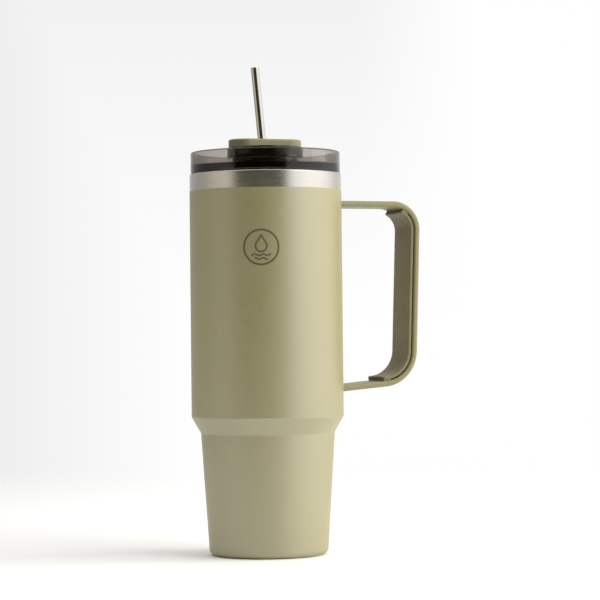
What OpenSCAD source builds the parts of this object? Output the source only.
// Vacuum-insulated steel tumbler with a loop handle, a clear smoke lid with a rotating cover,
// and a steel straw. Millimetres, +Z up. The origin is the centre of the foot on the body's axis,
// and the handle points along +X.

/* [Cup] */
// Height of the steel cup, from the ground to the lip
cup_h = 247; // [235:1:260]
// Diameter of the upper body, over the coat
body_d = 99; // [95:0.5:104]
// Diameter of the lower body where the shoulder starts
lower_top_d = 87; // [83:0.5:90]
// Diameter of the tapered lower body at the ground
lower_base_d = 77; // [73:0.5:80]
// Height at which the shoulder starts
shoulder_low = 79; // [70:1:85]
// Height at which the shoulder reaches the upper body
shoulder_high = 89.5; // [88:0.5:96]
// Rounding of the shoulder's two edges
shoulder_round = 3; // [2:0.5:4]
// Rounding of the foot's outer edge
foot_round = 4; // [3:0.5:5]
// Height of the bare steel band under the lip
bare_band = 11; // [6:0.5:16]
// Thickness of each steel wall
wall = 0.6; // [0.5:0.1:0.8]
// Width of the vacuum space between the walls
vacuum_gap = 2.2; // [2:0.1:2.6]
// Thickness of the powder coat
coat = 0.15; // [0.1:0.05:0.2]
// Height of the drinking floor inside the cup
floor_z = 8.3; // [8:0.1:10]

/* [Handle] */
// Furthest reach of the handle from the body's axis
handle_reach = 103.6; // [98:0.2:108]
// Width of the handle band
handle_w = 28; // [25:0.5:32]
// Thickness of the handle band
handle_t = 3.8; // [3.6:0.1:4.4]
// Height of the upper arm's top face
handle_top = 229.6; // [215:0.2:232]
// Height of the lower arm's centre where it meets the body
handle_low = 107; // [100:0.5:120]
// Centreline radius of the upper bend
upper_bend = 16.6; // [15:0.2:20]
// Centreline radius of the lower bend
lower_bend = 22.1; // [17:0.1:24]
// Inward lean of the grip from top to bottom, in degrees
grip_lean = 2; // [0:0.1:5]
// Upward slope of the lower arm away from the body, in degrees
arm_slope = 4.8; // [0:0.1:8]
// Width of the soft pad
pad_w = 27.4; // [24:0.1:27.4]
// Thickness of the soft pad
pad_t = 2.4; // [1.8:0.1:3]

/* [Lid] */
// Outside diameter of the lid's rim wall
lid_d = 97.4; // [96:0.2:98.6]
// Height of the lid's rim wall above the lip
lid_wall_h = 14.2; // [12:0.2:18]
// Thickness of the rim wall
lid_wall = 2; // [1.6:0.1:2.6]
// Depth of the lid's floor below the top of the rim wall
lid_recess = 9.5; // [7:0.1:10]
// Depth of the plug below the lip
plug_h = 14; // [13:0.5:18]

/* [Cover] */
// Diameter of the rotating cover
drum_d = 49.6; // [46:0.2:54]
// Height of the rotating cover
drum_h = 7.2; // [7:0.1:10]
// Length of the grip bar on top of the cover
bar_l = 49; // [44:0.5:49]
// Width of the grip bar
bar_w = 22; // [18:0.5:24]
// Thickness of the grip bar
bar_t = 5.2; // [4.4:0.1:6]
// Width of the drinking notch in the cover
notch_w = 18; // [14:0.5:19]

/* [Straw] */
// Outside diameter of the straw
straw_d = 5.3; // [5:0.1:5.6]
// Wall thickness of the straw
straw_wall = 0.4; // [0.3:0.05:0.5]
// Length of the straw
straw_l = 309; // [290:1:330]
// Lean of the straw away from the body's axis, in degrees
straw_lean = 5.3; // [5:0.1:5.5]

/* [Hidden] */
$fn = 96;

// Colours
SAGE = "#a9a684";
SAGE_PAD = "#8d866b";
STEEL = "#c4bfb8";
SMOKE = [0.20, 0.17, 0.15, 0.75];
SILICONE = "#d9d8d2";
DARK_STEEL = "#8c8984";
GREY = "#6f6d69";

// Gaps: a hair's gap between pieces that rest on each other but move apart, a running fit
// on a radius, and an easy clearance
rest_gap = 0.05;
run_gap = 0.05;
ease = 0.3;
over = 1;                                  // how far a cut runs past the face that it cuts
big_round = 5;                             // corners from this radius up get finer facets

// Cup, from the outside in. Each wall's outline is the coat's outline moved inwards.
shell_inset = coat;
gap_inset = coat + wall;
liner_inset = gap_inset + vacuum_gap;
cavity_inset = liner_inset + wall;
body_r = body_d / 2;
shell_r = body_r - shell_inset;
join_r = body_r - gap_inset;               // the liner meets the shell's inner face here
liner_r = body_r - cavity_inset;           // inside radius of the cup
flare_h = 4;                               // height of the liner's flare below the lip
flare_low = cup_h - 8.5;
coat_low = 0.5;                            // the coat ends just above the ground
foot_in_r = 34;                            // inner edge of the foot ring
foot_rise = 2.4;                           // depth of the recess inside the foot ring
liner_corner = 8;
plate_r = foot_in_r + 1.2;
plate_low = foot_rise + 0.3;               // the plate sits just over the slanted edge of the foot ring
dimple_r = 8;
dimple_rise = 1.45;
hole_r = 1;                                // pump-out hole
bead_r = 4;
bead_h = 1;
cap_t = 0.8;
cap_drop = 0.1;                            // gap between the cap and the plate, filled by glue
getter_r = 5;
getter_t = 1.4;

// Handle centreline: a level upper arm, a bend, the leaning grip, a bend, the sloping lower arm.
// The grip's length is the one that brings the lower arm to handle_low at the body.
arm_z = handle_top - handle_t / 2;
upper_c = [handle_reach - handle_t / 2 - upper_bend, arm_z - upper_bend];
grip_a = upper_c + upper_bend * [cos(grip_lean), -sin(grip_lean)];
grip_dir = [-sin(grip_lean), -cos(grip_lean)];
lower_dx = grip_a[0] - lower_bend * cos(grip_lean) + lower_bend * sin(arm_slope) - body_r;
lower_dz = grip_a[1] + lower_bend * sin(grip_lean) - lower_bend * cos(arm_slope) - handle_low;
grip_l = (lower_dz - tan(arm_slope) * lower_dx) / (cos(grip_lean) - tan(arm_slope) * sin(grip_lean));
grip_b = grip_a + grip_l * grip_dir;
lower_c = grip_b + lower_bend * [-cos(grip_lean), sin(grip_lean)];
arm_end = lower_c + lower_bend * [sin(arm_slope), -cos(arm_slope)];
arm_l = (arm_end[0] - body_r) / cos(arm_slope);
band_round = 1.4;                          // edge rounding of the band
seam_trim = 0.02;                          // the straight runs are this much slimmer than the bends
seam_reach = 0.3;                          // and reach this far into them
arm_root = 2;                              // how far an arm is drawn into the body before it is cut
pad_gap = 0.9;                             // width of the groove between band and pad
pad_neck = pad_w - 7;                      // width of the pad's neck inside the groove
pad_ease = 0.02;                           // gap between the neck and the band, filled by glue
pad_in = handle_t / 2 + pad_gap;           // from the centreline to the pad's back
pad_round = 0.9;
pad_wrap = 62;                             // how far the pad follows the upper bend, in degrees
pad_low_arm = 1;                           // straight length of pad on the lower arm

// Tongues: steel tabs inside the arms, and the countersunk screws through them
tongue_w = 20;
tongue_t = 1.5;
tongue_l = 26;
tongue_ease = 0.1;
screw_at = 16;                             // from the body's wall to the screw
screw_r = 1.25;
screw_head_r = 2.3;
screw_head_h = 1;
screw_drive_r = 0.9;                       // hexagon socket
arm_skin = (handle_t - tongue_t) / 2;      // plastic between the tongue and the arm's face

// Lid
lid_r = lid_d / 2;
lid_low = cup_h + rest_gap;
lid_top = cup_h + lid_wall_h;
lid_floor = lid_top - lid_recess;
lid_floor_t = 2.7;
boss_h = 5;
boss_top = lid_floor + boss_h;
boss_r = drum_d / 2 - 3.2;
plug_low = cup_h - plug_h;
plug_r = liner_r - 0.9;
plug_in_r = plug_r - 2.3;
seat_r = join_r - wall - 0.6;              // plug shoulder inside the liner's flare
groove_r = plug_r - 1.5;
groove_low = plug_low + 1.6;
groove_h = 3.4;
chimney_r = 8.6;
chimney_low = lid_floor - 5.4;
straw_hole_r = 5.2;
port_at = 16.5;                            // from the axis to the drinking port
port_l = 13;
port_w = 6.4;
port_round = 2.6;

// Rotating cover
drum_r = drum_d / 2;
drum_low = boss_top + 0.35;
drum_top = drum_low + drum_h;
drum_bore_r = chimney_r + run_gap;
seal_t = 1.2;
seal_proud = 0.25;
seal_in_r = 10.6;
seal_out_r = boss_r - 0.2;
pocket_r = 12.5;                           // pocket for the snap ring, under the grip bar
pocket_h = 2.3;
notch_in = bar_w / 2 + 0.6;                // the notch starts just clear of the grip bar
notch_round = 3;
bar_top = drum_top + bar_t;
bar_round = bar_w / 2 - 0.1;               // the bar's ends are almost half round
bar_edge = 1.3;                            // rounding of the bar's top edge
bar_steps = 4;                             // steps that make up that rounding
bar_screw_at = 16.5;
bar_screw_r = 1.5;
bar_head_r = 2.8;
bar_head_h = 1.9;
bar_bite = 3.2;                            // depth of screw in the bar
ring_t = 0.7;
ring_low = drum_top - pocket_h + 0.15;
ring_in_r = 7.85;
ring_out_r = 11.4;
ring_gap = 50;                             // opening of the snap ring, in degrees
oring_r = 0.5;
oring_z = drum_low + 3.2;
chimney_top = drum_top - 0.5;

// Straw: it passes through the middle of the cover and stands near the cup's wall
straw_r = straw_d / 2;
straw_foot_z = floor_z + 0.6;
straw_foot_x = 22;

// ---------------------------------------------------------------------------------- functions

// Unit vector from a to b
function unit(a, b) = (b - a) / norm(b - a);

// The arc of radius r that rounds the corner p between a and b, as points
function corner(a, p, b, r) =
    r == 0 ? [p] :
    let (u = unit(p, a), v = unit(p, b),
         half = acos(u * v) / 2,
         c = p + (u + v) / norm(u + v) * r / sin(half),
         s = p + u * r / tan(half) - c,
         e = p + v * r / tan(half) - c,
         a0 = atan2(s[1], s[0]),
         turn = (atan2(e[1], e[0]) - a0 + 540) % 360 - 180,
         n = max(2, ceil(abs(turn) / 7.5)))
    [for (i = [0:n]) c + r * [cos(a0 + turn * i / n), sin(a0 + turn * i / n)]];

// An open path with its inner corners rounded; radii has one value for each point
function rounded(path, radii) = [for (i = [0:len(path) - 1])
    each (i == 0 || i == len(path) - 1) ? [path[i]] :
        corner(path[i - 1], path[i], path[i + 1], radii[i])];

// Where the lines p + s*u and q + t*v meet
function meet(p, u, q, v) =
    p + u * ((q[0] - p[0]) * v[1] - (q[1] - p[1]) * v[0]) / (u[0] * v[1] - u[1] * v[0]);

// An open path moved to its left by d
function left_of(a, b, d) = let (u = unit(a, b)) d * [-u[1], u[0]];
function inset(path, d) = let (n = len(path) - 1) [for (i = [0:n])
    i == 0 ? path[0] + left_of(path[0], path[1], d) :
    i == n ? path[n] + left_of(path[n - 1], path[n], d) :
    meet(path[i] + left_of(path[i - 1], path[i], d), unit(path[i - 1], path[i]),
         path[i] + left_of(path[i], path[i + 1], d), unit(path[i], path[i + 1]))];

function reversed(path) = [for (i = [len(path) - 1:-1:0]) path[i]];

// The cup's outline over the coat, from inside the foot up to the lip
cup_path = [[foot_in_r - 0.8, foot_rise], [foot_in_r, -coat], [lower_base_d / 2, -coat],
            [lower_top_d / 2, shoulder_low], [body_r, shoulder_high], [body_r, cup_h]];
function cup_outline(d) =
    rounded(inset(cup_path, d),
            [0, 0.9 - d / 2, foot_round - d, shoulder_round + d, shoulder_round - d, 0]);

// The liner's outline at an inset d from the coat; z0 is the height of its floor there
function liner_outline(d, z0) = let (
    side = inset(cup_path, d),
    foot = meet([0, z0], [1, 0], side[2], unit(side[2], side[3])),
    flare = d - liner_inset)
    rounded([[0, z0], foot, side[3], side[4], [side[4][0], flare_low],
             [join_r - flare, flare_low + flare_h], [join_r - flare, cup_h]],
            [0, liner_corner - flare, shoulder_round + d, 0.9, 2, 2, 0]);

// ------------------------------------------------------------------------------------ helpers

// A solid of revolution between two open paths
module wall_between(outer, inner) {
    rotate_extrude() polygon(concat(outer, reversed(inner)));
}

// A ring with a rectangular section
module ring(r_out, r_in, z0, h) {
    translate([0, 0, z0]) difference() {
        cylinder(r = r_out, h = h);
        translate([0, 0, -over]) cylinder(r = r_in, h = h + 2 * over);
    }
}

// A rounded rectangle, w by t, centred. Corners of radius big_round or more get finer facets.
module rounded_rect(w, t, r) {
    square([w - 2 * r, t], center = true);
    square([w, t - 2 * r], center = true);
    for (x = [-1, 1], y = [-1, 1])
        translate([x * (w / 2 - r), y * (t / 2 - r)]) circle(r = r, $fn = r < big_round ? 32 : 96);
}

// A band section, w wide and t thick, whose middle lies out beyond the handle's centreline.
// $trim makes it a hair smaller all round.
module band_section(w, t, r, out) {
    translate([0, out]) rounded_rect(w - 2 * $trim, t - 2 * $trim, r - $trim);
}

// A straight run of the child section from p, along the direction angle a in the XZ plane.
// The section's second axis points to the outside of the loop. The run is trimmed, and reaches
// into the bends at its ends, so that they join as one solid.
module run(p, a, l) {
    $trim = seam_trim;
    translate([p[0], 0, p[1]]) rotate([0, -a, 0]) translate([-seam_reach, 0, 0])
        rotate([90, 0, 90]) linear_extrude(l + 2 * seam_reach) children();
}

// A bend of the child section about c, from angle a0 to a1 in the XZ plane
module bend(c, r, a0, a1) {
    $trim = 0;
    translate([c[0], 0, c[1]]) rotate([90, 0, 0]) rotate([0, 0, a0])
        rotate_extrude(angle = a1 - a0) translate([r, 0]) rotate(-90) children();
}

// One section along the grip and both bends, from the angle top_turn in the upper bend to
// low_arm along the lower arm
module loop(top_turn, low_arm) {
    bend(upper_c, upper_bend, -grip_lean, top_turn) children();
    run(grip_a, -90 - grip_lean, grip_l) children();
    bend(lower_c, lower_bend, arm_slope - 90, -grip_lean) children();
    run(arm_end, 180 + arm_slope, low_arm) children();
}

// Everything inside the upper body, used to cut the handle's arms to the wall
module body_cut(r) {
    translate([0, 0, shoulder_high]) cylinder(r = r, h = cup_h - shoulder_high);
}

// Moves its children to the root of the upper or the lower arm, with +X along the arm
module at_upper() {
    translate([body_r, 0, arm_z]) children();
}
module at_lower() {
    translate([body_r, 0, handle_low]) rotate([0, -arm_slope, 0]) children();
}

// ----------------------------------------------------------------------------------- cup

module powder_coat() {
    color(SAGE) difference() {
        intersection() {
            wall_between(cup_outline(0), cup_outline(shell_inset));
            ring(body_r + over, foot_in_r + 1, coat_low, cup_h - bare_band - coat_low);
        }
        at_upper() tongue_window();
        at_lower() tongue_window();
    }
}

module outer_shell() {
    color(STEEL) wall_between(cup_outline(shell_inset), cup_outline(gap_inset));
}

module inner_liner() {
    color(STEEL)
        wall_between(liner_outline(liner_inset, floor_z - wall), liner_outline(cavity_inset, floor_z));
}

module base_plate() {
    rise = dimple_rise;
    color(DARK_STEEL) translate([0, 0, plate_low]) rotate_extrude() polygon([
        [hole_r, rise], [dimple_r, rise], [dimple_r + rise, 0], [plate_r, 0], [plate_r, wall],
        [dimple_r + rise + wall / 2, wall], [dimple_r + wall / 2, rise + wall],
        [hole_r, rise + wall]]);
}

module vacuum_seal() {
    top = plate_low + dimple_rise;
    color(GREY) {
        translate([0, 0, top - bead_h]) cylinder(r1 = bead_r - 0.6, r2 = bead_r, h = bead_h);
        translate([0, 0, top - 0.1]) cylinder(r = hole_r, h = wall);
    }
}

module base_cap() {
    color(SAGE) translate([0, 0, plate_low - cap_drop - cap_t])
        cylinder(r = foot_in_r - 1.2, h = cap_t);
}

module getter() {
    color(GREY) translate([0, 0, floor_z - wall - getter_t]) cylinder(r = getter_r, h = getter_t);
}

// --------------------------------------------------------------------------------- handle

// A steel tab that starts on the shell and runs along +X
module tongue() {
    difference() {
        translate([-arm_root, -tongue_w / 2, -tongue_t / 2])
            cube([tongue_l + arm_root, tongue_w, tongue_t]);
        translate([screw_at, 0, -tongue_t]) cylinder(r = screw_r + 0.02, h = 2 * tongue_t, $fn = 48);
    }
}

module upper_tongue() {
    color(STEEL) difference() {
        at_upper() tongue();
        body_cut(shell_r);
    }
}

module lower_tongue() {
    color(STEEL) difference() {
        at_lower() tongue();
        body_cut(shell_r);
    }
}

// Window in the coat, where a tongue is welded to the bare steel
module tongue_window() {
    cube([2 * arm_root, tongue_w + tongue_ease, tongue_t + tongue_ease], center = true);
}

// Room for the tongue and the screw in one arm
module tongue_room() {
    translate([-arm_root - over, -tongue_w / 2 - tongue_ease, -tongue_t / 2 - tongue_ease / 2])
        cube([tongue_l + arm_root + over + ease, tongue_w + 2 * tongue_ease, tongue_t + tongue_ease]);
    translate([screw_at, 0, -handle_t / 2 - 0.02]) {
        cylinder(r1 = screw_head_r + 0.1, r2 = screw_r + 0.1, h = screw_head_h + 0.02, $fn = 48);
        cylinder(r = screw_r + 0.1, h = handle_t / 2, $fn = 48);
    }
}

module handle_frame() {
    upper_arm = upper_c[0] - body_r + arm_root;
    color(SAGE) difference() {
        union() {
            run([upper_c[0] - upper_arm, arm_z], 0, upper_arm)
                band_section(handle_w, handle_t, band_round, 0);
            loop(90, arm_l + arm_root) band_section(handle_w, handle_t, band_round, 0);
        }
        body_cut(body_r);
        at_upper() tongue_room();
        at_lower() tongue_room();
    }
}

module handle_grip() {
    color(SAGE_PAD) loop(pad_wrap, pad_low_arm) {
        band_section(pad_w, pad_t, pad_round, -pad_in - pad_t / 2);
        translate([0, -pad_in])
            square([pad_neck - 2 * $trim, 2 * (pad_gap - pad_ease - $trim)], center = true);
    }
}

// A countersunk screw whose head faces down, with its axis on Z
module arm_screw() {
    difference() {
        union() {
            cylinder(r1 = screw_head_r, r2 = screw_r, h = screw_head_h, $fn = 48);
            cylinder(r = screw_r, h = arm_skin + tongue_t - 0.1, $fn = 48);
        }
        translate([0, 0, -over]) cylinder(r = screw_drive_r, h = over + screw_head_h / 2, $fn = 6);
    }
}

module handle_screws() {
    color(DARK_STEEL) {
        at_upper() translate([screw_at, 0, -handle_t / 2]) arm_screw();
        at_lower() translate([screw_at, 0, -handle_t / 2]) arm_screw();
    }
}

// ------------------------------------------------------------------------------------ lid

// The lid's section, right of the axis: chimney, boss, floor, rim wall, seat, plug
module lid_section() {
    rim_in = lid_r - lid_wall;
    path = [[straw_hole_r, chimney_low], [chimney_r, chimney_low],
            [chimney_r, lid_floor - lid_floor_t], [plug_in_r, lid_floor - lid_floor_t],
            [plug_in_r, plug_low], [plug_r, plug_low], [plug_r, flare_low - 0.5],
            [seat_r, flare_low + flare_h - 0.5], [seat_r, lid_low], [lid_r, lid_low],
            [lid_r, lid_top], [rim_in, lid_top], [rim_in, lid_floor], [boss_r, lid_floor],
            [boss_r, boss_top], [chimney_r, boss_top], [chimney_r, chimney_top],
            [straw_hole_r, chimney_top], [straw_hole_r, lid_floor]];
    radii = [0, 0, 1, 2, 0.6, 0.6, 0.4, 0.4, 0, 0.6, 0.9, 0.9, 1.2, 0.5, 0.5, 0, 0.4, 0.4, 0];
    polygon(rounded(path, radii));
}

// The drinking port's outline in plan, on the -X side
module port_outline() {
    translate([-port_at, 0]) rounded_rect(port_w, port_l, port_round);
}

module lid_body() {
    color(SMOKE) difference() {
        rotate_extrude() lid_section();
        ring(plug_r + over, groove_r, groove_low, groove_h);
        ring(chimney_r + over, ring_in_r - run_gap, ring_low - 0.05, ring_t + 0.1);
        ring(chimney_r + over, chimney_r - 2 * oring_r - 0.1, oring_z - 0.6, 1.2);
        translate([0, 0, lid_floor - lid_floor_t - over])
            linear_extrude(lid_floor_t + boss_h + 2 * over) port_outline();
    }
}

// A ring with two soft fins that reach almost to the cup's wall
module lid_gasket() {
    back = groove_r + 0.05;
    face = plug_r - 0.2;
    fin = liner_r - ease;
    low = groove_low + 0.1;
    high = groove_low + groove_h - 0.1;
    color(SILICONE) rotate_extrude() polygon([
        [back, low], [face, low], [fin, low + 0.9], [fin, low + 1.3], [face, low + 1.1],
        [face, low + 1.8], [fin, low + 2.7], [fin, low + 3.1], [face, high], [back, high]]);
}

module hub_ring() {
    color(GREY) translate([0, 0, oring_z]) rotate_extrude()
        translate([chimney_r - oring_r - 0.05, 0]) circle(r = oring_r, $fn = 32);
}

module cover_retainer() {
    color(STEEL) translate([0, 0, ring_low]) rotate([0, 0, 90 + ring_gap / 2])
        rotate_extrude(angle = 360 - ring_gap)
            translate([ring_in_r, 0]) square([ring_out_r - ring_in_r, ring_t]);
}

// ------------------------------------------------------------------------- rotating cover

// The drinking notch's outline in plan, on the +Y side of the closed cover
module notch_outline() {
    l = drum_r - notch_in + notch_round + over;
    translate([0, notch_in + l / 2]) rounded_rect(notch_w, l, notch_round);
}

module cover_disc() {
    color(SMOKE) difference() {
        rotate_extrude() polygon(rounded(
            [[drum_bore_r, drum_low], [drum_r, drum_low], [drum_r, drum_top],
             [drum_bore_r, drum_top], [drum_bore_r, drum_low + over]], [0, 0.6, 0.4, 0, 0]));
        translate([0, 0, drum_top - pocket_h]) cylinder(r = pocket_r, h = pocket_h + over);
        ring(seal_out_r, seal_in_r, drum_low - over, seal_t - seal_proud + over);
        translate([0, 0, drum_low - over]) linear_extrude(drum_h + 2 * over) notch_outline();
        for (side = [-1, 1]) translate([side * bar_screw_at, 0, drum_low]) {
            cylinder(r = bar_screw_r + 0.05, h = drum_h + over, $fn = 48);
            cylinder(r = bar_head_r + 0.1, h = seal_t - seal_proud + bar_head_h + 0.1, $fn = 48);
        }
    }
}

module cover_seal() {
    color(SILICONE) difference() {
        ring(seal_out_r - 0.05, seal_in_r + 0.05, drum_low - seal_proud, seal_t);
        translate([0, 0, drum_low - over]) linear_extrude(seal_t + 2 * over) notch_outline();
    }
}

module cover_grip() {
    color(SAGE) difference() {
        // nested layers step in along the arc of the rounded top edge
        for (i = [0:bar_steps]) {
            in = bar_edge * (1 - cos(90 * i / (bar_steps + 1)));
            rise = bar_edge * sin(90 * i / bar_steps);
            translate([0, 0, drum_top])
                linear_extrude(bar_t - bar_edge + rise)
                    rounded_rect(bar_l - 2 * in, bar_w - 2 * in, bar_round - in);
        }
        translate([0, 0, drum_top - over]) cylinder(r = straw_hole_r, h = bar_t + 2 * over);
        for (side = [-1, 1]) translate([side * bar_screw_at, 0, drum_top - over])
            cylinder(r = bar_screw_r, h = over + bar_bite + 0.1, $fn = 48);
    }
}

module grip_screws() {
    head_z = drum_low + seal_t - seal_proud + 0.05;
    color(DARK_STEEL) for (side = [-1, 1]) translate([side * bar_screw_at, 0, head_z])
        difference() {
            union() {
                cylinder(r = bar_head_r, h = bar_head_h, $fn = 48);
                cylinder(r = bar_screw_r, h = drum_top - head_z + bar_bite, $fn = 48);
            }
            translate([0, 0, -over]) cylinder(r = bar_head_r / 2, h = over + bar_head_h / 2, $fn = 6);
        }
}

// ---------------------------------------------------------------------------------- straw

module straw() {
    color(STEEL) translate([straw_foot_x, 0, straw_foot_z]) rotate([0, -straw_lean, 0])
        difference() {
            cylinder(r = straw_r, h = straw_l, $fn = 48);
            translate([0, 0, -over])
                cylinder(r = straw_r - straw_wall, h = straw_l + 2 * over, $fn = 48);
        }
}

powder_coat();
outer_shell();
inner_liner();
base_plate();
getter();
vacuum_seal();
base_cap();
upper_tongue();
lower_tongue();
handle_frame();
handle_grip();
handle_screws();
lid_body();
lid_gasket();
hub_ring();
cover_retainer();
cover_disc();
cover_seal();
cover_grip();
grip_screws();
straw();
